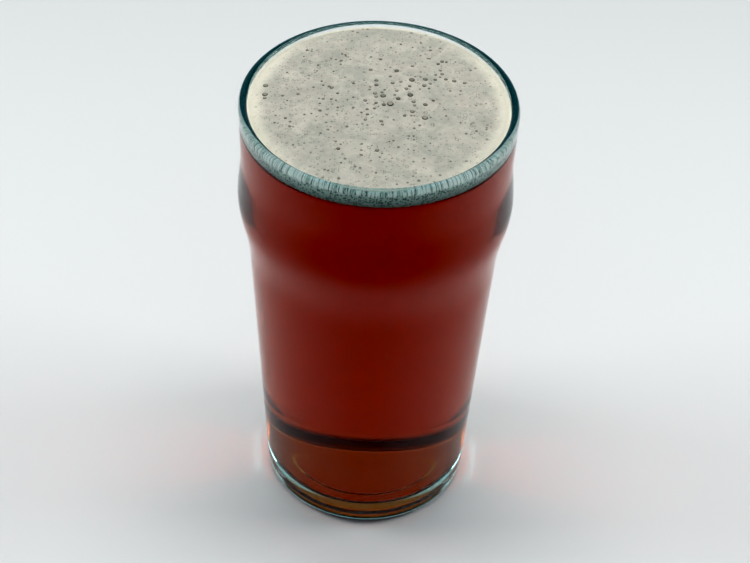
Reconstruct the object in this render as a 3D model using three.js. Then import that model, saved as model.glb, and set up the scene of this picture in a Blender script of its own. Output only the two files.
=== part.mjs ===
// A bulged pint glass filled to the brim with dark red ale under a head of foam.
// Millimetres, +Z up. The origin is on the table, under the middle of the foot.
// The glass, the beer and the foam are three solids of revolution about Z.

import * as THREE from 'three';

// Glass, outside. The outline is a chain of straight flanks whose corners are rounded.
const GLASS_HEIGHT = 152;
const FOOT_RADIUS = 33.4; // where the body's flank would meet the table
const HEEL_ROUNDING = 3.4;
const WAIST = { radius: 38.86, height: 100.4, rounding: 70 };
const BULGE = { radius: 42.35, height: 117, rounding: 30 };
const NECK = { radius: 40.91, height: 131.7, rounding: 45 };
const RIM_RADIUS = 41.4;

// Glass, inside. The wall has one thickness, measured level, up to a fully rounded lip.
const WALL = 2.6;
const FLOOR_HEIGHT = 7.5;
const FLOOR_ROUNDING = 5;

// Underside. A flat foot ring stands round a shallow hollow with a round mould mark in it.
const FOOT_RING_INNER = 24.5;
const HOLLOW_SIDE = 1.5; // how far inwards the foot ring's inner edge slopes
const HOLLOW_DEPTH = 1.1;
const MARK_RADIUS = 14.6;
const MARK_SIDE = 0.5;
const MARK_DEPTH = 0.5;

// Contents. The foam floats on the beer and ends just under the rim.
const FOAM_BASE = 145.3; // the level where foam and beer meet
const FOAM_EDGE = 150.7; // the foam's height at the wall
const FOAM_CROWN = 151.7; // the foam's height in the middle
const FOAM_ROUNDING = 0.9;
const GAP = 0.3; // left between solids that touch

// Facets
const SIDES = 48;
const ARC_STEP = 2.2; // longest chord along a rounded corner
const MIN_ARC_STEPS = 3;

// Radius at a height on the straight stretch between two corners of an outline.
function radiusBetween(lower, upper, height) {
  const share = (height - lower.height) / (upper.height - lower.height);
  return lower.radius + (upper.radius - lower.radius) * share;
}

// The two tangent points and the arc between them that round off a corner.
function arcAtCorner(before, corner, after, rounding) {
  const toBefore = before.clone().sub(corner).normalize();
  const toAfter = after.clone().sub(corner).normalize();
  const halfAngle = Math.acos(toBefore.dot(toAfter)) / 2;
  const middle = toBefore.clone().add(toAfter).normalize();
  const centre = corner.clone().addScaledVector(middle, rounding / Math.sin(halfAngle));
  const start = corner.clone().addScaledVector(toBefore, rounding / Math.tan(halfAngle));
  const turn = toBefore.cross(toAfter) > 0 ? -1 : 1;
  const sweep = turn * (Math.PI - 2 * halfAngle);
  const steps = Math.max(MIN_ARC_STEPS, Math.ceil(Math.abs(sweep) * rounding / ARC_STEP));
  const points = [];
  for (let i = 0; i <= steps; i += 1) {
    points.push(start.clone().rotateAround(centre, sweep * i / steps));
  }
  return points;
}

// The points of an outline in the (radius, height) plane. A corner with a rounding becomes an arc.
function roundedOutline(corners) {
  const sharp = corners.map((corner) => new THREE.Vector2(corner.radius, corner.height));
  return corners.flatMap((corner, i) => (
    corner.rounding ? arcAtCorner(sharp[i - 1], sharp[i], sharp[i + 1], corner.rounding) : [sharp[i]]
  ));
}

// A named solid of revolution about Z from an outline that starts and ends on the axis,
// going outwards along the underside and back to the axis along the top.
function turned(name, corners, look) {
  const geometry = new THREE.LatheGeometry(roundedOutline(corners), SIDES);
  geometry.rotateX(Math.PI / 2);
  const mesh = new THREE.Mesh(geometry, new THREE.MeshStandardMaterial(look));
  mesh.name = name;
  return mesh;
}

// Outside of the glass, from the table up to the rim.
function outsideCorners() {
  return [
    { radius: FOOT_RADIUS, height: 0, rounding: HEEL_ROUNDING },
    WAIST,
    BULGE,
    NECK,
    { radius: RIM_RADIUS, height: GLASS_HEIGHT, rounding: WALL / 2 - 0.01 },
  ];
}

// A surface inside the glass's outside by a level distance, from its floor up to a height.
// An outward corner gets tighter by that distance and an inward one wider.
function insideCorners(inset, floorHeight, topHeight) {
  const foot = { radius: FOOT_RADIUS, height: 0 };
  const moved = (corner, change) => ({
    radius: corner.radius - inset,
    height: corner.height,
    rounding: corner.rounding + change,
  });
  const rim = { radius: RIM_RADIUS, height: GLASS_HEIGHT };
  return [
    { radius: 0, height: floorHeight },
    {
      radius: radiusBetween(foot, WAIST, floorHeight) - inset,
      height: floorHeight,
      rounding: FLOOR_ROUNDING + WALL - inset,
    },
    moved(WAIST, inset),
    moved(BULGE, -inset),
    moved(NECK, inset),
    { radius: radiusBetween(NECK, rim, topHeight) - inset, height: topHeight },
  ];
}

function glass() {
  const hollowTop = FOOT_RING_INNER - HOLLOW_SIDE;
  const underside = [
    { radius: 0, height: HOLLOW_DEPTH + MARK_DEPTH },
    { radius: MARK_RADIUS - MARK_SIDE, height: HOLLOW_DEPTH + MARK_DEPTH },
    { radius: MARK_RADIUS, height: HOLLOW_DEPTH },
    { radius: hollowTop, height: HOLLOW_DEPTH },
    { radius: FOOT_RING_INNER, height: 0 },
  ];
  const inside = insideCorners(WALL, FLOOR_HEIGHT, GLASS_HEIGHT);
  inside[inside.length - 1].rounding = WALL / 2 - 0.01;
  return turned('glass', [...underside, ...outsideCorners(), ...inside.reverse()], {
    color: 0xcfe3de,
    roughness: 0.03,
    metalness: 0,
  });
}

function beer() {
  const inside = insideCorners(WALL + GAP, FLOOR_HEIGHT + GAP, FOAM_BASE - GAP / 2);
  const surface = { radius: 0, height: FOAM_BASE - GAP / 2 };
  return turned('beer', [...inside, surface], { color: 0x5e1206, roughness: 0.05, metalness: 0 });
}

function foam() {
  const rim = { radius: RIM_RADIUS, height: GLASS_HEIGHT };
  const bottom = FOAM_BASE + GAP / 2;
  const radiusAt = (height) => radiusBetween(NECK, rim, height) - WALL - GAP;
  const edgeRadius = radiusAt(FOAM_EDGE);
  // The top is a shallow cap: its height falls with the square of the radius.
  const crown = [];
  const rings = 5;
  for (let i = 1; i <= rings; i += 1) {
    const share = 1 - i / rings;
    crown.push({
      radius: (edgeRadius - 2 * FOAM_ROUNDING) * share,
      height: FOAM_CROWN - (FOAM_CROWN - FOAM_EDGE) * share * share,
    });
  }
  return turned('foam', [
    { radius: 0, height: bottom },
    { radius: radiusAt(bottom), height: bottom },
    { radius: edgeRadius, height: FOAM_EDGE, rounding: FOAM_ROUNDING },
    ...crown,
  ], { color: 0xd8d0bd, roughness: 0.85, metalness: 0 });
}

const group = new THREE.Group();
group.add(glass(), beer(), foam());

export default group;
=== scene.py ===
"""A pint of dark red ale in a bulged glass, under a head of foam.

The glass, the ale and the foam are surfaces of revolution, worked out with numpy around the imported
frame. Lengths are metres, +Z is up, and the origin is on the table under the middle of the foot.
"""

import math

import bpy
import numpy as np
from bpy.props import FloatProperty, FloatVectorProperty, IntProperty, PointerProperty
from mathutils import Matrix, Vector


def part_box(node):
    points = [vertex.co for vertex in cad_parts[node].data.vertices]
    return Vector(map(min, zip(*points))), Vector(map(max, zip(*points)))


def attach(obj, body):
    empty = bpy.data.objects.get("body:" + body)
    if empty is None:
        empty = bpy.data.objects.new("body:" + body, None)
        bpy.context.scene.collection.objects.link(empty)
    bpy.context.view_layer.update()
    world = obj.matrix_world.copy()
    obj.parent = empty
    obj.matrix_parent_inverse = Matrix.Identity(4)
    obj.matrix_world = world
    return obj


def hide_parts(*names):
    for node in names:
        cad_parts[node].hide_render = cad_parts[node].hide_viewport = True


bl_info = {
    "name": "Pint of Ale",
    "version": (1, 0, 0),
    "blender": (4, 5, 0),
    "location": "3D View > Sidebar > Pint",
    "description": "Makes a filled pint glass: clear glass, dark red ale and a head of foam",
    "category": "Add Mesh",
}

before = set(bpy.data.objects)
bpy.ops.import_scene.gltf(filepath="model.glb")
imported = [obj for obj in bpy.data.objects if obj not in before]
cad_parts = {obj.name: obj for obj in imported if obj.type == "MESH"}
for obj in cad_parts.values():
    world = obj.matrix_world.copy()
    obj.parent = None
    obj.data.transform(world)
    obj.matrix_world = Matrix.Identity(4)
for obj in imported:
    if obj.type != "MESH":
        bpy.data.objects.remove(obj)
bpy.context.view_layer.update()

MM = 0.001
RIM_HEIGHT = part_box("glass")[1][2]
FOAM_BASE, FOAM_CROWN = (corner[2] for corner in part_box("foam"))
POLES = (0.0, 0.0)  # an attribute's values on the two poles of a turned piece


# ---------------------------------------------------------------------------
# Colours
# ---------------------------------------------------------------------------


def linear(hex_colour):
    """An sRGB hex value as linear red, green and blue."""
    channels = [int(hex_colour[i : i + 2], 16) / 255 for i in (1, 3, 5)]
    return tuple(c / 12.92 if c <= 0.04045 else ((c + 0.055) / 1.055) ** 2.4 for c in channels)


def with_alpha(colour):
    """A colour with the fourth channel that node sockets take."""
    return (*colour, 1.0)


# ---------------------------------------------------------------------------
# Sizes and colours a user would change
# ---------------------------------------------------------------------------


def length(name, description, millimetres):
    """A length property whose default is given in millimetres."""
    return FloatProperty(
        name=name, description=description, default=millimetres * MM, unit="LENGTH", precision=5
    )


def colour(name, description, hex_colour):
    """A colour property whose default is an sRGB hex value."""
    return FloatVectorProperty(
        name=name,
        description=description,
        default=linear(hex_colour),
        subtype="COLOR",
        size=3,
        min=0.0,
        max=1.0,
    )


class PintGlassSettings(bpy.types.PropertyGroup):
    """The glass: the corners of its outline before they are rounded, and its wall."""

    foot_radius: length("Foot radius", "Where the flank would meet the table", 33.4)
    heel_rounding: length("Heel rounding", "Rounding between the flank and the foot ring", 3.4)
    waist_radius: length("Waist radius", "Corner under the bulge", 38.86)
    waist_height: length("Waist height", "Height of the corner under the bulge", 100.4)
    waist_rounding: length("Waist rounding", "Rounding under the bulge", 70)
    bulge_radius: length("Bulge radius", "Corner of the bulge", 42.35)
    bulge_height: length("Bulge height", "Height of the bulge's corner", 117)
    bulge_rounding: length("Bulge rounding", "Rounding of the bulge", 30)
    neck_radius: length("Neck radius", "Corner above the bulge", 40.91)
    neck_height: length("Neck height", "Height of the corner above the bulge", 131.7)
    neck_rounding: length("Neck rounding", "Rounding above the bulge", 45)
    rim_radius: length("Rim radius", "Outside of the rim", 41.4)
    height: FloatProperty(
        name="Height", description="Height of the rim", default=RIM_HEIGHT, unit="LENGTH"
    )
    wall: length("Wall", "Thickness of the wall, measured level", 2.6)
    lip_rounding: length("Lip rounding", "Rounding of the rim's two edges", 1.25)
    floor_height: length("Floor height", "Thickness of the bottom", 7.5)
    floor_rounding: length("Floor rounding", "Rounding between the floor and the wall", 5)
    ring_inner: length("Foot ring inner radius", "Inner edge of the ring it stands on", 24.5)
    hollow_side: length("Hollow side", "How far the ring's inner edge slopes inwards", 1.5)
    hollow_depth: length("Hollow depth", "Depth of the hollow in the underside", 1.1)
    mark_radius: length("Mould mark radius", "Round step in the hollow", 14.6)
    mark_side: length("Mould mark side", "How far the step's edge slopes inwards", 0.5)
    mark_depth: length("Mould mark depth", "Height of the step in the hollow", 0.5)
    edge_rounding: length("Edge rounding", "Fire polish on the small edges underneath", 0.25)
    sides: IntProperty(name="Sides", description="Facets round the axis", default=224, min=12)
    tint: colour("Tint", "Colour left after light has passed through the glass", "#00d4da")
    depth: FloatProperty(
        name="Tint strength", description="Absorption for each metre of glass", default=16.0
    )
    # Painted glow: the colour and strength of a teal sheen on the lip, for light piped down the wall
    lip_glow_colour: colour("Lip tint", "Colour that glows in the lip", "#3fe0f0")
    lip_glow: FloatProperty(name="Lip glow", description="Strength of the lip's glow", default=0.14)


class PintAleSettings(bpy.types.PropertyGroup):
    """The ale: how far it reaches into the wall and how it colours light."""

    into_wall: length("Into the wall", "How far the ale reaches into the glass", 0.15)
    level: length("Level", "Where ale and foam meet", 145.3)
    into_foam: length("Into the foam", "How far the ale reaches up into the foam", 0.2)
    tint: colour("Tint", "Colour that the ale lets through best", "#ecba00")
    depth: FloatProperty(
        name="Tint strength", description="Absorption for each metre of ale", default=110.0
    )


class PintFoamSettings(bpy.types.PropertyGroup):
    """The foam: a shallow cap with relief, pores and bubbles, which climbs a little at the wall."""

    into_wall: length("Into the wall", "How far the foam reaches into the glass", 0.2)
    crown_drop: length("Crown drop", "How far the middle lies under the packed crown", 0.35)
    edge_height: length("Edge height", "Height of the foam just inside the wall", 150.1)
    climb: length("Climb", "How far the foam climbs the wall above its edge", 0.35)
    climb_width: length("Climb width", "Width of the climbing edge", 0.9)
    edge_rounding: length("Edge rounding", "Rounding of the climbing edge", 0.22)
    lean: length("Lean", "How much higher the foam stands at the back than in the middle", 0.6)
    tooth: length("Tooth", "How far single bubbles hang down into the ale at the wall", 0.4)
    rings: IntProperty(name="Rings", description="Steps from the middle out", default=132, min=8)
    sides: IntProperty(name="Sides", description="Facets round the axis", default=576, min=12)
    seed: IntProperty(name="Seed", description="Placing of the relief and bubbles", default=7)
    cream: colour("Cream", "Foam where it is thick", "#c0bbb1")
    shade: colour("Shade", "Foam in its hollows", "#a4a49b")
    # Pale streaks, and painted light where the foam climbs the wall and at the two sides
    bright: colour("Bright", "Foam where it climbs the wall", "#f2ebda")
    # Painted shade: open pores, outlines of small bubbles, and rings and deep middles of large bubbles
    pore_and_ring_shade: colour("Pore", "Open pores", "#45453a")
    blush: colour("Blush", "Foam where the ale shows through", "#b4aca3")
    cell: colour("Cell", "Walls between the bubbles that lie against the glass", "#c0cec5")
    wet: colour("Wet", "Middles of the bubbles that lie against the glass", "#365650")
    # Lace strands, and painted light that lifts the foam against the wall at the two sides
    lace: colour("Lace", "Strands of foam that cling to the glass", "#fbfdf6")
    film: colour("Film", "Skin of a large bubble", "#9a978b")


# ---------------------------------------------------------------------------
# Shapes
# ---------------------------------------------------------------------------


def arc_at_corner(before, corner, after, rounding, step):
    """The arc of radius `rounding` that touches both sides of a corner.

    Its centre lies on the corner's bisector, rounding / sin(half the angle) away, and it touches
    each side rounding / tan(half the angle) from the corner. Its points are `step` apart.
    """
    to_before = (before - corner) / np.linalg.norm(before - corner)
    to_after = (after - corner) / np.linalg.norm(after - corner)
    half = math.acos(float(np.clip(to_before @ to_after, -1, 1))) / 2
    middle = (to_before + to_after) / np.linalg.norm(to_before + to_after)
    centre = corner + middle * rounding / math.sin(half)
    start = corner + to_before * rounding / math.tan(half) - centre
    cross = to_before[0] * to_after[1] - to_before[1] * to_after[0]
    sweep = -math.copysign(math.pi - 2 * half, cross)
    count = max(6, math.ceil(abs(sweep) * rounding / step))
    turn = np.linspace(0, sweep, count + 1)
    x = start[0] * np.cos(turn) - start[1] * np.sin(turn)
    y = start[0] * np.sin(turn) + start[1] * np.cos(turn)
    return centre + np.stack([x, y], axis=1)


def rounded_outline(corners, arc_step=0.5 * MM, flank_step=2.5 * MM):
    """The (radius, height) points of a chain of straight sides with rounded corners.

    A corner is (radius, height) or (radius, height, rounding). Rounded corners become arcs, and
    each straight stretch between them is cut into equal steps of about `flank_step`.
    """
    points = [np.array(corner[:2], float) for corner in corners]
    pieces = [points[0][None]]
    for i in range(1, len(corners) - 1):
        rounding = corners[i][2] if len(corners[i]) > 2 else 0
        if rounding:
            arc = arc_at_corner(points[i - 1], points[i], points[i + 1], rounding, arc_step)
            pieces.append(arc)
        else:
            pieces.append(points[i][None])
    pieces.append(points[-1][None])
    outline = [pieces[0]]
    for piece in pieces[1:]:
        start = outline[-1][-1]
        count = max(1, math.ceil(float(np.linalg.norm(piece[0] - start)) / flank_step))
        share = np.linspace(0, 1, count + 1)[1:-1, None]
        outline.append(start + (piece[0] - start) * share)
        outline.append(piece)
    return np.concatenate(outline)


def grid_faces(rows, columns):
    """Quads between neighbouring rows of a grid whose columns close into a ring."""
    row, column = np.meshgrid(np.arange(rows - 1), np.arange(columns), indexing="ij")
    right = (column + 1) % columns
    corners = [
        row * columns + column,
        row * columns + right,
        (row + 1) * columns + right,
        (row + 1) * columns + column,
    ]
    return np.stack(corners, axis=-1).reshape(-1, 4)


def mesh_object(name, vertices, quads, triangles=None):
    """A smooth-shaded mesh object at the origin from arrays of vertices, quads and triangles."""
    triangles = np.zeros((0, 3), int) if triangles is None else triangles
    mesh = bpy.data.meshes.new(name)
    mesh.vertices.add(len(vertices))
    mesh.vertices.foreach_set("co", np.ascontiguousarray(vertices, np.float32).ravel())
    loops = np.concatenate([quads.ravel(), triangles.ravel()]).astype(np.int32)
    sizes = np.concatenate([np.full(len(quads), 4), np.full(len(triangles), 3)]).astype(np.int32)
    mesh.loops.add(len(loops))
    mesh.loops.foreach_set("vertex_index", loops)
    mesh.polygons.add(len(sizes))
    starts = np.concatenate([[0], np.cumsum(sizes)[:-1]]).astype(np.int32)
    mesh.polygons.foreach_set("loop_start", starts)
    mesh.polygons.foreach_set("loop_total", sizes)
    mesh.polygons.foreach_set("use_smooth", np.ones(len(sizes), bool))
    mesh.update(calc_edges=True)
    mesh.validate()
    piece = bpy.data.objects.new(name, mesh)
    bpy.context.scene.collection.objects.link(piece)
    return piece


def revolved(name, rings):
    """A closed surface from rings of points about Z, going from one pole to the other.

    `rings` is an array (rows, columns, 3). Each row is a ring; the first and last rows are each
    closed by a fan to one pole, the mean of that row, so the outline may leave out its two ends
    on the axis.
    """
    rows, columns = rings.shape[:2]
    poles = np.stack([rings[0].mean(axis=0), rings[-1].mean(axis=0)])
    vertices = np.concatenate([rings.reshape(-1, 3), poles])
    column = np.arange(columns)
    right = (column + 1) % columns
    first, last = rows * columns, rows * columns + 1
    base = (rows - 1) * columns
    near = np.stack([np.full(columns, first), right, column], axis=1)
    far = np.stack([np.full(columns, last), base + column, base + right], axis=1)
    return mesh_object(name, vertices, grid_faces(rows, columns), np.concatenate([near, far]))


def lathe_rings(outline, sides):
    """Rings of points about Z: each outline point (r, z) goes to (r cos a, r sin a, z)."""
    angle = np.arange(sides) * 2 * math.pi / sides
    radius, height = outline[:, :1], outline[:, 1:]
    return np.stack(
        [radius * np.cos(angle), radius * np.sin(angle), height + 0 * angle], axis=-1
    )


def glass_outside(sizes):
    """Corners of the outside of the glass, from the heel up to the lip."""
    return [
        (sizes.foot_radius, 0.0, sizes.heel_rounding),
        (sizes.waist_radius, sizes.waist_height, sizes.waist_rounding),
        (sizes.bulge_radius, sizes.bulge_height, sizes.bulge_rounding),
        (sizes.neck_radius, sizes.neck_height, sizes.neck_rounding),
        (sizes.rim_radius, sizes.height),
    ]


def radius_between(lower, upper, height):
    """Radius at a height on the straight stretch between two corners."""
    share = (height - lower[1]) / (upper[1] - lower[1])
    return lower[0] + (upper[0] - lower[0]) * share


def glass_inside(sizes, inset, floor_height, top_height):
    """Corners of a surface that runs inside the glass's outside by a level distance.

    An outward corner gets tighter by that distance and an inward one wider.
    """
    foot, waist, bulge, neck, rim = glass_outside(sizes)
    return [
        (0.0, floor_height),
        (
            radius_between(foot, waist, floor_height) - inset,
            floor_height,
            sizes.floor_rounding + sizes.wall - inset,
        ),
        (waist[0] - inset, waist[1], waist[2] + inset),
        (bulge[0] - inset, bulge[1], bulge[2] - inset),
        (neck[0] - inset, neck[1], neck[2] + inset),
        (radius_between(neck, rim, top_height) - inset, top_height),
    ]


def off_axis(outline):
    """The outline without its two ends on the axis, which the poles stand for."""
    return outline[1:-1]


def add_attribute(piece, name, values):
    """Stores one number for each vertex, which the material reads by name."""
    layer = piece.data.attributes.new(name, "FLOAT", "POINT")
    layer.data.foreach_set("value", np.ascontiguousarray(values, np.float32))


def smooth_step(value, start, stop):
    """0 before start, 1 after stop, and 3t^2 - 2t^3 between them."""
    t = np.clip((value - start) / (stop - start), 0, 1)
    return t * t * (3 - 2 * t)


def foam_swell(x, y, random):
    """Height of the foam's soft swells: for each wavelength, five sine waves with random headings."""
    swell = np.zeros_like(x)
    for wavelength, height in ((24, 0.11), (13, 0.08), (7, 0.05), (3.4, 0.025)):
        for heading, phase in random.uniform(0, 2 * math.pi, (5, 2)):
            along = x * math.cos(heading) + y * math.sin(heading)
            swell += height * MM / 2 * np.sin(2 * math.pi * along / (wavelength * MM) + phase)
    return swell


def foam_bubbles(foam):
    """Places and radii (x, y, radius) of the large bubbles on the foam, none touching another.

    Each cluster is a normal spread about its middle: its x, y and spread in millimetres, how many
    bubbles are tried, and its smallest and largest radius.
    """
    random = np.random.default_rng(foam.seed)
    apart_by, reach = 0.3, 35
    clusters = (
        (9.0, 3.0, 6.5, 34, 0.5, 1.2),
        (-13.0, 8.0, 7.0, 16, 0.3, 0.7),
        (-32.0, 4.0, 2.5, 5, 0.6, 1.2),
        (14.0, 16.0, 6.0, 12, 0.4, 0.9),
        (0.0, -4.0, 17.0, 60, 0.25, 0.7),
    )
    bubbles = []
    for x, y, spread, count, smallest, largest in clusters:
        for _ in range(count):
            place = random.normal((x, y), spread)
            radius = smallest + (largest - smallest) * random.uniform() ** 2
            apart = all(
                math.dist(place, other[:2]) > radius + other[2] + apart_by for other in bubbles
            )
            if apart and math.hypot(*place) < reach:
                bubbles.append((*place, radius))
    return np.array(bubbles) * MM


def foam_surface(x, y, sizes, foam):
    """Height of the foam's top: a cap that falls with the square of the radius, plus its relief.

    The swells fade out at the wall, where the edge climbs by the square of how far it is into the
    climbing width. The whole leans: it rises in proportion to y. Under each large bubble lies a
    round dimple, a bell curve as wide as the bubble.
    """
    reach = sizes.rim_radius - sizes.wall
    radius = np.hypot(x, y)
    crown = FOAM_CROWN - foam.crown_drop
    height = crown - (crown - foam.edge_height) * (radius / reach) ** 2
    calm = 1 - smooth_step(radius, 0.86 * reach, 0.99 * reach)
    height += foam_swell(x, y, np.random.default_rng(foam.seed + 1)) * calm
    into_edge = np.clip((radius - reach + foam.climb_width) / foam.climb_width, 0, 1.3)
    height += foam.climb * into_edge**2 + foam.lean * y / reach
    for bubble_x, bubble_y, bubble in foam_bubbles(foam):
        away = ((x - bubble_x) ** 2 + (y - bubble_y) ** 2) / bubble**2
        height -= 0.4 * bubble * np.exp(-away)
    return height


# ---------------------------------------------------------------------------
# Materials
# ---------------------------------------------------------------------------


def add_node(tree, kind, inputs=None, **settings):
    """Adds a node with its settings. Each input is a value, or another node's output to link."""
    node = tree.nodes.new(kind)
    for name, value in settings.items():
        setattr(node, name, value)
    for socket, value in (inputs or {}).items():
        if isinstance(value, bpy.types.NodeSocket):
            tree.links.new(value, node.inputs[socket])
        else:
            node.inputs[socket].default_value = value
    return node


def new_material(name):
    """An empty node material and its tree."""
    material = bpy.data.materials.new(name)
    material.use_nodes = True
    material.node_tree.nodes.clear()
    return material, material.node_tree


def soda_lime_glass(sizes):
    """Soda-lime glass, pressed and fire-polished.

    Its skin is smooth and clear. The lip's dark green glow is painted: a teal sheen on the lip
    stands in for light that enters the lip and runs down inside the wall. The wall and the ale that
    reaches into it would mirror the light twice, so the ale's mirror tint is black and the glass's
    is dark, for one wetted wall.
    """
    material, tree = new_material("Soda-lime glass")
    lip = add_node(tree, "ShaderNodeAttribute", attribute_name="lip")
    # Painted glow: a teal sheen, lip_glow strong, on the lip only
    glow = add_node(
        tree, "ShaderNodeMath", {0: lip.outputs["Fac"], 1: sizes.lip_glow}, operation="MULTIPLY"
    )
    skin = add_node(
        tree,
        "ShaderNodeBsdfPrincipled",
        {
            "Base Color": with_alpha(linear("#ffffff")),
            "Roughness": 0.0,
            "IOR": 1.52,
            "Transmission Weight": 1.0,
            "Specular Tint": with_alpha(linear("#686868")),
            "Sheen Weight": glow.outputs[0],
            "Sheen Roughness": 1.0,
            "Sheen Tint": with_alpha(sizes.lip_glow_colour),
        },
    )
    body = add_node(
        tree,
        "ShaderNodeVolumeAbsorption",
        {"Color": with_alpha(sizes.tint), "Density": sizes.depth},
    )
    add_node(
        tree,
        "ShaderNodeOutputMaterial",
        {"Surface": skin.outputs[0], "Volume": body.outputs[0]},
    )
    return material


def clear_red_ale(ale):
    """Filtered ale, clear and dark: red where the light's path is long and amber where it is short."""
    material, tree = new_material("Clear red ale")
    skin = add_node(
        tree,
        "ShaderNodeBsdfPrincipled",
        {
            "Base Color": with_alpha(linear("#ffffff")),
            "Roughness": 0.0,
            "IOR": 1.345,
            "Transmission Weight": 1.0,
            "Specular Tint": with_alpha(linear("#000000")),
        },
    )
    body = add_node(
        tree,
        "ShaderNodeVolumeAbsorption",
        {"Color": with_alpha(ale.tint), "Density": ale.depth},
    )
    add_node(
        tree,
        "ShaderNodeOutputMaterial",
        {"Surface": skin.outputs[0], "Volume": body.outputs[0]},
    )
    return material


def cloudy(tree, place, size, start, stop, most=1.0):
    """Soft clouds about `size` across: 0 where the noise is under start, `most` where over stop."""
    noise = add_node(
        tree,
        "ShaderNodeTexNoise",
        {"Vector": place, "Scale": 1 / size, "Detail": 4.0, "Roughness": 0.6, "Distortion": 0.8},
    )
    share = add_node(
        tree,
        "ShaderNodeMapRange",
        {"Value": noise.outputs["Fac"], "From Min": start, "From Max": stop, "To Max": most},
    )
    return share.outputs["Result"]


def random_reach(tree, place, size, widest, rarity):
    """Distance from the nearest cell's middle, and that cell's reach: widest * chance^rarity."""
    cell = add_node(tree, "ShaderNodeTexVoronoi", {"Vector": place, "Scale": 1 / size})
    chance = add_node(tree, "ShaderNodeSeparateColor", {"Color": cell.outputs["Color"]})
    rare = add_node(
        tree, "ShaderNodeMath", {0: chance.outputs["Red"], 1: rarity}, operation="POWER"
    )
    reach = add_node(
        tree, "ShaderNodeMath", {0: rare.outputs[0], 1: widest}, operation="MULTIPLY"
    )
    inside = add_node(
        tree,
        "ShaderNodeMath",
        {0: reach.outputs[0], 1: cell.outputs["Distance"]},
        operation="SUBTRACT",
    )
    return inside.outputs[0]


def open_pores(tree, place, size, widest, rarity, most):
    """Dark round pores: `most` wherever the cell's reach is more than the distance from its middle."""
    soft_edge = 0.09
    inside = random_reach(tree, place, size, widest, rarity)
    share = add_node(
        tree, "ShaderNodeMapRange", {"Value": inside, "From Max": soft_edge, "To Max": most}
    )
    return share.outputs["Result"]


def bubble_outlines(tree, place, size, widest, line, most):
    """Thin round outlines: `most` where the distance from a cell's middle is its reach."""
    inside = random_reach(tree, place, size, widest, rarity=1.5)
    away = add_node(tree, "ShaderNodeMath", {0: inside}, operation="ABSOLUTE")
    share = add_node(
        tree,
        "ShaderNodeMapRange",
        {"Value": away.outputs[0], "From Max": line, "To Min": most, "To Max": 0.0},
    )
    return share.outputs["Result"]


def foam_against_glass(tree, place, white, foam):
    """Colour of the foam seen through the wall: single wet bubbles under white hanging lace.

    Bubbles are cells with dark middles, drawn a little coarser than the finest real ones so that
    they show. They are wetter lower down. Near the top the foam clings to the glass in white
    strands, a noise drawn out upwards. `white` is painted light, high at the two sides that face
    the side softboxes: there all of this lies lower by `hang`, and the colour is lifted towards the
    lace colour by up to 0.45.
    """
    hang = 2.5 * MM
    height = add_node(tree, "ShaderNodeSeparateXYZ", {"Vector": place}).outputs["Z"]
    bubble = add_node(tree, "ShaderNodeTexVoronoi", {"Vector": place, "Scale": 1 / (0.6 * MM)})
    chance = add_node(tree, "ShaderNodeSeparateColor", {"Color": bubble.outputs["Color"]})
    middle = add_node(
        tree,
        "ShaderNodeMapRange",
        {"Value": bubble.outputs["Distance"], "From Min": 0.62, "From Max": 0.1},
    )
    hollow = add_node(
        tree,
        "ShaderNodeMath",
        {0: middle.outputs["Result"], 1: chance.outputs["Red"]},
        operation="MULTIPLY",
    )
    dark = add_node(
        tree,
        "ShaderNodeMapRange",
        {"Value": hollow.outputs[0], "From Min": 0.02, "From Max": 0.3, "To Max": 0.85},
    )
    cells = add_node(
        tree,
        "ShaderNodeMix",
        {0: dark.outputs["Result"], 6: with_alpha(foam.cell), 7: with_alpha(foam.wet)},
        data_type="RGBA",
    )
    hanging = add_node(
        tree, "ShaderNodeMath", {0: white, 1: hang, 2: height}, operation="MULTIPLY_ADD"
    )
    wetness = add_node(
        tree,
        "ShaderNodeMapRange",
        {
            "Value": hanging.outputs[0],
            "From Min": FOAM_BASE,
            "From Max": FOAM_BASE + 2.7 * MM,
            "To Min": 0.7,
            "To Max": 0.0,
        },
    )
    wet = add_node(
        tree,
        "ShaderNodeMix",
        {0: wetness.outputs["Result"], 6: cells.outputs[2], 7: with_alpha(foam.wet)},
        data_type="RGBA",
    )
    drawn_out = add_node(tree, "ShaderNodeMapping", {"Vector": place, "Scale": (1, 1, 0.15)})
    strands = cloudy(tree, drawn_out.outputs[0], 0.6 * MM, 0.45, 0.52)
    near_edge = add_node(
        tree,
        "ShaderNodeMapRange",
        {
            "Value": hanging.outputs[0],
            "From Min": FOAM_BASE + 3 * MM,
            "From Max": FOAM_BASE + 4 * MM,
        },
    )
    lace = add_node(
        tree, "ShaderNodeMath", {0: strands, 1: near_edge.outputs["Result"]}, operation="MULTIPLY"
    )
    seen = add_node(
        tree,
        "ShaderNodeMix",
        {0: lace.outputs[0], 6: wet.outputs[2], 7: with_alpha(foam.lace)},
        data_type="RGBA",
    )
    # Painted light: at the two sides the foam against the wall is lifted towards the lace colour
    share = add_node(tree, "ShaderNodeMapRange", {"Value": white, "To Max": 0.45})
    lit = add_node(
        tree,
        "ShaderNodeMix",
        {0: share.outputs["Result"], 6: seen.outputs[2], 7: with_alpha(foam.lace)},
        data_type="RGBA",
    )
    return lit.outputs[2]


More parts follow.
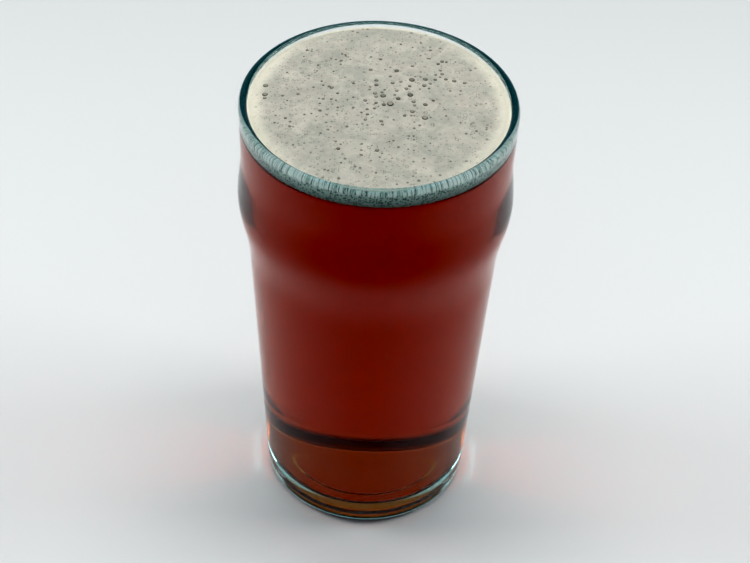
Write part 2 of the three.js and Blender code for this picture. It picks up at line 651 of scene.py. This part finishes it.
def ale_foam(foam):
    """A dense head of fine bubbles.

    It is matt and creamy, with soft hollows, open pores and the outlines of small bubbles. The pores
    and outlines are painted shade: dark spots and rings where the surface has no holes. It is whiter
    where it climbs the wall and towards the two sides that face the side softboxes: painted light.
    Against the glass its bubbles show one by one, lifted towards the lace colour at the two sides,
    also painted light. Light spreads a millimetre or two inside it. The grain and the pores are
    coarser than the finest real ones.
    """
    material, tree = new_material("Ale foam")
    place = add_node(tree, "ShaderNodeTexCoord").outputs["Object"]
    white = add_node(tree, "ShaderNodeAttribute", attribute_name="white").outputs["Fac"]
    wall = add_node(tree, "ShaderNodeAttribute", attribute_name="wall").outputs["Fac"]
    layers = (
        (cloudy(tree, place, 10 * MM, 0.3, 0.7), foam.cream),
        (cloudy(tree, place, 6 * MM, 0.45, 0.7, 0.5), foam.blush),
        (cloudy(tree, place, 3.5 * MM, 0.45, 0.8, 0.25), foam.bright),
        # Painted shade: dark pores and bubble outlines, for shade in holes the surface doesn't have
        (open_pores(tree, place, 0.7 * MM, 0.5, 2.0, 0.35), foam.pore_and_ring_shade),
        (open_pores(tree, place, 1.5 * MM, 0.4, 3.0, 0.65), foam.pore_and_ring_shade),
        (bubble_outlines(tree, place, 2.3 * MM, 0.32, 0.07, 0.4), foam.pore_and_ring_shade),
        # Painted light: the climbing edge and the two sides, from the white attribute
        (white, foam.bright),
    )
    tone = with_alpha(foam.shade)
    for share, layer in layers:
        tone = add_node(
            tree, "ShaderNodeMix", {0: share, 6: tone, 7: with_alpha(layer)}, data_type="RGBA"
        ).outputs[2]
    tone = add_node(
        tree,
        "ShaderNodeMix",
        {0: wall, 6: tone, 7: foam_against_glass(tree, place, white, foam)},
        data_type="RGBA",
    )
    grain = add_node(tree, "ShaderNodeTexVoronoi", {"Vector": place, "Scale": 1 / (0.45 * MM)})
    bump = add_node(
        tree,
        "ShaderNodeBump",
        {"Height": grain.outputs["Distance"], "Strength": 0.35, "Distance": 0.08 * MM},
    )
    skin = add_node(
        tree,
        "ShaderNodeBsdfPrincipled",
        {
            "Base Color": tone.outputs[2],
            "Normal": bump.outputs["Normal"],
            "Roughness": 0.55,
            "IOR": 1.34,
            "Subsurface Weight": 0.5,
            "Subsurface Radius": (0.85, 1.0, 0.95),
            "Subsurface Scale": 1.8 * MM,
        },
    )
    add_node(tree, "ShaderNodeOutputMaterial", {"Surface": skin.outputs[0]})
    return material


def bubble_film(foam):
    """The wet skin of single large bubbles: glossy, with a ring of painted shade where the skin stands
    steep and painted shade in the middles of some.
    """
    material, tree = new_material("Bubble film")
    from_middle = add_node(tree, "ShaderNodeAttribute", attribute_name="from_middle")
    middle_shade = add_node(tree, "ShaderNodeAttribute", attribute_name="middle_shade")
    middle = add_node(
        tree,
        "ShaderNodeMix",
        {0: middle_shade.outputs["Fac"], 6: with_alpha(foam.film), 7: with_alpha(foam.pore_and_ring_shade)},
        data_type="RGBA",
    )
    # Painted shade: the rim of each bubble is darkened where its skin stands steep
    edge = add_node(
        tree,
        "ShaderNodeMapRange",
        {"Value": from_middle.outputs["Fac"], "From Min": 0.6, "From Max": 0.9},
    )
    ring = add_node(
        tree,
        "ShaderNodeMix",
        {0: edge.outputs["Result"], 6: middle.outputs[2], 7: with_alpha(foam.pore_and_ring_shade)},
        data_type="RGBA",
    )
    skin = add_node(
        tree,
        "ShaderNodeBsdfPrincipled",
        {"Base Color": ring.outputs[2], "Roughness": 0.12, "IOR": 1.34},
    )
    add_node(tree, "ShaderNodeOutputMaterial", {"Surface": skin.outputs[0]})
    return material


def matt_table():
    """White laminate with a matt press finish, which shows only soft shadows."""
    material, tree = new_material("Matt white laminate")
    skin = add_node(
        tree,
        "ShaderNodeBsdfPrincipled",
        {"Base Color": with_alpha(linear("#e6e5e5")), "Roughness": 0.6, "IOR": 1.5},
    )
    add_node(tree, "ShaderNodeOutputMaterial", {"Surface": skin.outputs[0]})
    return material


# ---------------------------------------------------------------------------
# Operators: one for each piece and one for the stage
# ---------------------------------------------------------------------------


class PINT_OT_glass(bpy.types.Operator):
    """Make the bulged glass with its lip, foot ring and moulded underside"""

    bl_idname = "pint.glass"
    bl_label = "Glass"

    def execute(self, context):
        sizes = context.scene.pint_glass
        polish = sizes.edge_rounding
        roof = sizes.hollow_depth + sizes.mark_depth
        underside = [
            (0.0, roof),
            (sizes.mark_radius - sizes.mark_side, roof, polish / 2),
            (sizes.mark_radius, sizes.hollow_depth, polish / 2),
            (sizes.ring_inner - sizes.hollow_side, sizes.hollow_depth, polish * 2),
            (sizes.ring_inner, 0.0, polish * 2),
        ]
        outside = glass_outside(sizes)
        outside[-1] = (*outside[-1], sizes.lip_rounding)
        inside = glass_inside(sizes, sizes.wall, sizes.floor_height, sizes.height)
        inside[-1] = (*inside[-1], sizes.lip_rounding)
        outline = rounded_outline([*underside, *outside, *inside[::-1]])
        rings = lathe_rings(off_axis(outline), sizes.sides)
        piece = revolved("pint_glass", rings)
        below_rim = sizes.height - rings[..., 2].ravel()
        # where the lip's painted glow lies
        lip = 1 - smooth_step(below_rim, 0.25 * MM, 0.7 * MM)
        add_attribute(piece, "lip", np.append(lip, POLES))
        piece.data.materials.append(soda_lime_glass(sizes))
        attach(piece, "root")
        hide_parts("glass")
        return {"FINISHED"}


class PINT_OT_ale(bpy.types.Operator):
    """Fill the glass with ale, which reaches just into the wall and into the foam"""

    bl_idname = "pint.ale"
    bl_label = "Ale"

    def execute(self, context):
        sizes, ale = context.scene.pint_glass, context.scene.pint_ale
        inset = sizes.wall - ale.into_wall
        floor = sizes.floor_height - ale.into_wall
        top = ale.level + ale.into_foam
        corners = glass_inside(sizes, inset, floor, top)
        corners.append((0.0, top))
        outline = rounded_outline(corners)
        piece = revolved("ale", lathe_rings(off_axis(outline), sizes.sides))
        piece.data.materials.append(clear_red_ale(ale))
        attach(piece, "root")
        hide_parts("beer")
        return {"FINISHED"}


class PINT_OT_foam(bpy.types.Operator):
    """Lay the head of foam on the ale, up to just under the rim"""

    bl_idname = "pint.foam"
    bl_label = "Foam"

    def execute(self, context):
        sizes, ale, foam = context.scene.pint_glass, context.scene.pint_ale, context.scene.pint_foam
        neck, rim = glass_outside(sizes)[-2:]
        inset = sizes.wall - foam.into_wall
        bottom = radius_between(neck, rim, ale.level) - inset
        top_height = foam.edge_height + foam.climb
        edge = radius_between(neck, rim, top_height) - inset
        side = rounded_outline(
            [
                (bottom, ale.level),
                (edge, top_height, foam.edge_rounding),
                (edge - foam.climb_width / 2, top_height - foam.edge_rounding / 2),
            ],
            arc_step=0.08 * MM,
            flank_step=0.45 * MM,
        )[:-1]
        reach = side[-1, 0]
        steps = np.linspace(0, 1, foam.rings + 1)[1:-1]
        cap_radius = reach * (1 - steps)
        cap = np.stack([cap_radius, 0 * cap_radius], axis=1)
        rings = lathe_rings(np.concatenate([side, cap]), foam.sides)
        rows = len(side)
        wall_rows = rows - 3  # the last rows turn over the edge towards the top
        rings[rows:, :, 2] = foam_surface(rings[rows:, :, 0], rings[rows:, :, 1], sizes, foam)
        share = np.clip((rings[:rows, :, 2] - ale.level) / (top_height - ale.level), 0, 1)
        rings[:rows, :, 2] += share * foam.lean * rings[:rows, :, 1] / reach
        random = np.random.default_rng(foam.seed + 2)
        rings[0, :, 2] -= foam.tooth * random.uniform(0, 1, foam.sides) ** 2
        piece = revolved("foam_head", rings)
        radius = np.hypot(rings[..., 0], rings[..., 1]).ravel()
        # Painted light: white lifts the foam on the narrow climbing ring all round, on a wider ring at
        # the two sides and on the wall band at the two sides, which face the side softboxes
        aside = (rings[..., 0].ravel() / radius) ** 2
        climbing = smooth_step(radius, reach - foam.climb_width, reach - 0.2 * foam.climb_width)
        side_lit_ring = aside * smooth_step(radius, 0.84 * reach, reach)
        wall = np.repeat(np.arange(len(rings)) < wall_rows, foam.sides)
        white = np.where(wall, aside**2, 0.8 * np.maximum(climbing, side_lit_ring))
        add_attribute(piece, "white", np.append(white, POLES))
        add_attribute(piece, "wall", np.append(wall, POLES))
        piece.data.materials.append(ale_foam(foam))
        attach(piece, "root")
        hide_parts("foam")
        return {"FINISHED"}


class PINT_OT_bubbles(bpy.types.Operator):
    """Set the large bubbles into the foam: low domes of wet film"""

    bl_idname = "pint.bubbles"
    bl_label = "Bubbles"

    def execute(self, context):
        sizes, foam = context.scene.pint_glass, context.scene.pint_foam
        bubbles = foam_bubbles(foam)
        bubble_x, bubble_y, radius = bubbles.T
        middle = foam_surface(bubble_x, bubble_y, sizes, foam) + 0.12 * radius
        half_height = 0.42 * radius  # a flattened ball, of which the upper part stands proud
        columns, rows = 14, 7
        around = np.arange(columns) * 2 * math.pi / columns
        down = (np.arange(rows) + 1) * math.pi / (rows + 1)
        out = (radius[:, None, None] * np.sin(down)[:, None]) + 0 * around
        x = bubble_x[:, None, None] + out * np.cos(around)
        y = bubble_y[:, None, None] + out * np.sin(around)
        z = middle[:, None, None] + half_height[:, None, None] * (np.cos(down)[:, None] + 0 * around)
        body = np.stack([x, y, z], axis=-1).reshape(len(bubbles), -1, 3)
        top = np.stack([bubble_x, bubble_y, middle + half_height], axis=-1)
        bottom = np.stack([bubble_x, bubble_y, middle - half_height], axis=-1)
        poles = np.stack([top, bottom], axis=1)
        vertices = np.concatenate([body, poles], axis=1)
        count = vertices.shape[1]
        column = np.arange(columns)
        right = (column + 1) % columns
        last = (rows - 1) * columns
        caps = np.concatenate(
            [
                np.stack([np.full(columns, count - 2), column, right], axis=1),
                np.stack([np.full(columns, count - 1), last + right, last + column], axis=1),
            ]
        )
        start = np.arange(len(bubbles))[:, None, None] * count
        quads = (grid_faces(rows, columns)[:, ::-1] + start).reshape(-1, 4)
        triangles = (caps + start).reshape(-1, 3)
        piece = mesh_object("foam_bubbles", vertices.reshape(-1, 3), quads, triangles)
        from_middle = np.append(np.repeat(np.sin(down), columns), POLES)
        random = np.random.default_rng(foam.seed + 3)
        # Painted shade: how dark each bubble's middle is, at random and always for the smallest ones
        middle_shade = np.maximum(0.6 * random.uniform(0, 1, len(bubbles)) ** 2, 0.5 * (radius < 0.4 * MM))
        add_attribute(piece, "from_middle", np.tile(from_middle, len(bubbles)))
        add_attribute(piece, "middle_shade", np.repeat(middle_shade, count))
        piece.data.materials.append(bubble_film(foam))
        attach(piece, "root")
        return {"FINISHED"}


class PINT_OT_stage(bpy.types.Operator):
    """Set up the pale table, the soft studio light and the camera"""

    bl_idname = "pint.stage"
    bl_label = "Stage"

    def execute(self, context):
        inner, reach, columns = 0.02, 4.0, 96
        level = -0.05 * MM  # just clear of the foot ring's face
        rings = lathe_rings(np.array([[inner, level], [reach, level]]), columns)
        column = np.arange(columns)
        table = mesh_object(
            "table",
            np.concatenate([rings.reshape(-1, 3), [[0, 0, level]]]),
            grid_faces(2, columns)[:, ::-1],
            np.stack([np.full(columns, 2 * columns), column, (column + 1) % columns], axis=1),
        )
        table.data.materials.append(matt_table())
        self.light(context)
        self.camera(context)
        self.view(context)
        return {"FINISHED"}

    def light(self, context):
        """A soft surround, a softbox above and one on each side.

        The surround is brighter behind than in front and darker at the sides, which the two sides
        of the glass mirror.
        """
        world = bpy.data.worlds.new("Soft surround")
        context.scene.world = world
        world.use_nodes = True
        tree = world.node_tree
        tree.nodes.clear()
        in_front, behind = with_alpha(linear("#a2cbd4")), with_alpha(linear("#fffffd"))
        direction = add_node(tree, "ShaderNodeTexCoord").outputs["Generated"]
        parts = add_node(tree, "ShaderNodeSeparateXYZ", {"Vector": direction})
        depth = add_node(
            tree,
            "ShaderNodeMapRange",
            {"Value": parts.outputs["Y"], "From Min": -0.7, "From Max": 0.5},
            interpolation_type="SMOOTHSTEP",
        )
        aside = add_node(tree, "ShaderNodeMath", {0: parts.outputs["X"]}, operation="ABSOLUTE")
        breadth = add_node(
            tree,
            "ShaderNodeMapRange",
            {
                "Value": aside.outputs[0],
                "From Min": 0.25,
                "From Max": 0.8,
                "To Min": 0.68,
                "To Max": 0.22,
            },
            interpolation_type="SMOOTHSTEP",
        )
        tone = add_node(
            tree,
            "ShaderNodeMix",
            {0: depth.outputs["Result"], 6: in_front, 7: behind},
            data_type="RGBA",
        )
        glow = add_node(
            tree,
            "ShaderNodeBackground",
            {"Color": tone.outputs[2], "Strength": breadth.outputs["Result"]},
        )
        add_node(tree, "ShaderNodeOutputWorld", {"Surface": glow.outputs[0]})
        softboxes = (
            ("softbox_above", (0.0, 0.12, 0.7), 0.38, 1.75),
            ("softbox_left", (-0.6, 0.05, 0.5), 0.3, 2.0),
            ("softbox_right", (0.6, 0.05, 0.5), 0.3, 2.0),
        )
        target = Vector((0, 0, 0.05))
        for name, place, size, power in softboxes:
            softbox = bpy.data.lights.new(name, "AREA")
            softbox.shape = "SQUARE"
            softbox.size = size
            softbox.energy = power
            lamp = bpy.data.objects.new(name, softbox)
            lamp.location = place
            aim = target - lamp.location
            lamp.rotation_euler = aim.to_track_quat("-Z", "Y").to_euler()
            context.scene.collection.objects.link(lamp)

    def camera(self, context):
        """A long lens looking down on the glass, turned a little to one side."""
        data = bpy.data.cameras.new("camera")
        data.sensor_width = 36.0
        data.lens = 89.87  # millimetres, as is the sensor
        camera = bpy.data.objects.new("camera", data)
        place = Vector((0.0, -437.0, 487.1)) * MM
        aim = Vector((1.0, 0.0, 79.8)) * MM
        roll = math.radians(2.485)
        turn = (aim - place).to_track_quat("-Z", "Y").to_matrix() @ Matrix.Rotation(roll, 3, "Z")
        camera.matrix_world = Matrix.Translation(place) @ turn.to_4x4()
        context.scene.collection.objects.link(camera)
        context.scene.camera = camera

    def view(self, context):
        """The contrast of the view, and how far light is followed through glass and ale."""
        look = context.scene.view_settings
        look.view_transform = "Standard"
        look.gamma = 0.78
        look.use_curve_mapping = True
        look.curve_mapping.black_level = (0.019, 0.024, 0.023)
        look.curve_mapping.update()
        cycles = context.scene.cycles
        cycles.blur_glossy = 0.05
        cycles.max_bounces = 32
        cycles.transmission_bounces = 32


class PINT_PT_panel(bpy.types.Panel):
    """The pieces of the pint, in the order in which they are made"""

    bl_label = "Pint of Ale"
    bl_idname = "PINT_PT_panel"
    bl_space_type = "VIEW_3D"
    bl_region_type = "UI"
    bl_category = "Pint"

    def draw(self, context):
        for operator in OPERATORS:
            self.layout.operator(operator.bl_idname)


OPERATORS = (PINT_OT_glass, PINT_OT_ale, PINT_OT_foam, PINT_OT_bubbles, PINT_OT_stage)
SETTINGS = {
    "pint_glass": PintGlassSettings,
    "pint_ale": PintAleSettings,
    "pint_foam": PintFoamSettings,
}


def register():
    """Registers the classes and gives every scene its settings."""
    for kind in (*SETTINGS.values(), *OPERATORS, PINT_PT_panel):
        bpy.utils.register_class(kind)
    for name, kind in SETTINGS.items():
        setattr(bpy.types.Scene, name, PointerProperty(type=kind))


def unregister():
    """Takes the settings and the classes away again."""
    for name in SETTINGS:
        delattr(bpy.types.Scene, name)
    for kind in (PINT_PT_panel, *OPERATORS[::-1], *reversed(list(SETTINGS.values()))):
        bpy.utils.unregister_class(kind)


def main():
    register()
    bpy.ops.pint.glass()
    bpy.ops.pint.ale()
    bpy.ops.pint.foam()
    bpy.ops.pint.bubbles()
    bpy.ops.pint.stage()


if __name__ == "__main__":
    main()
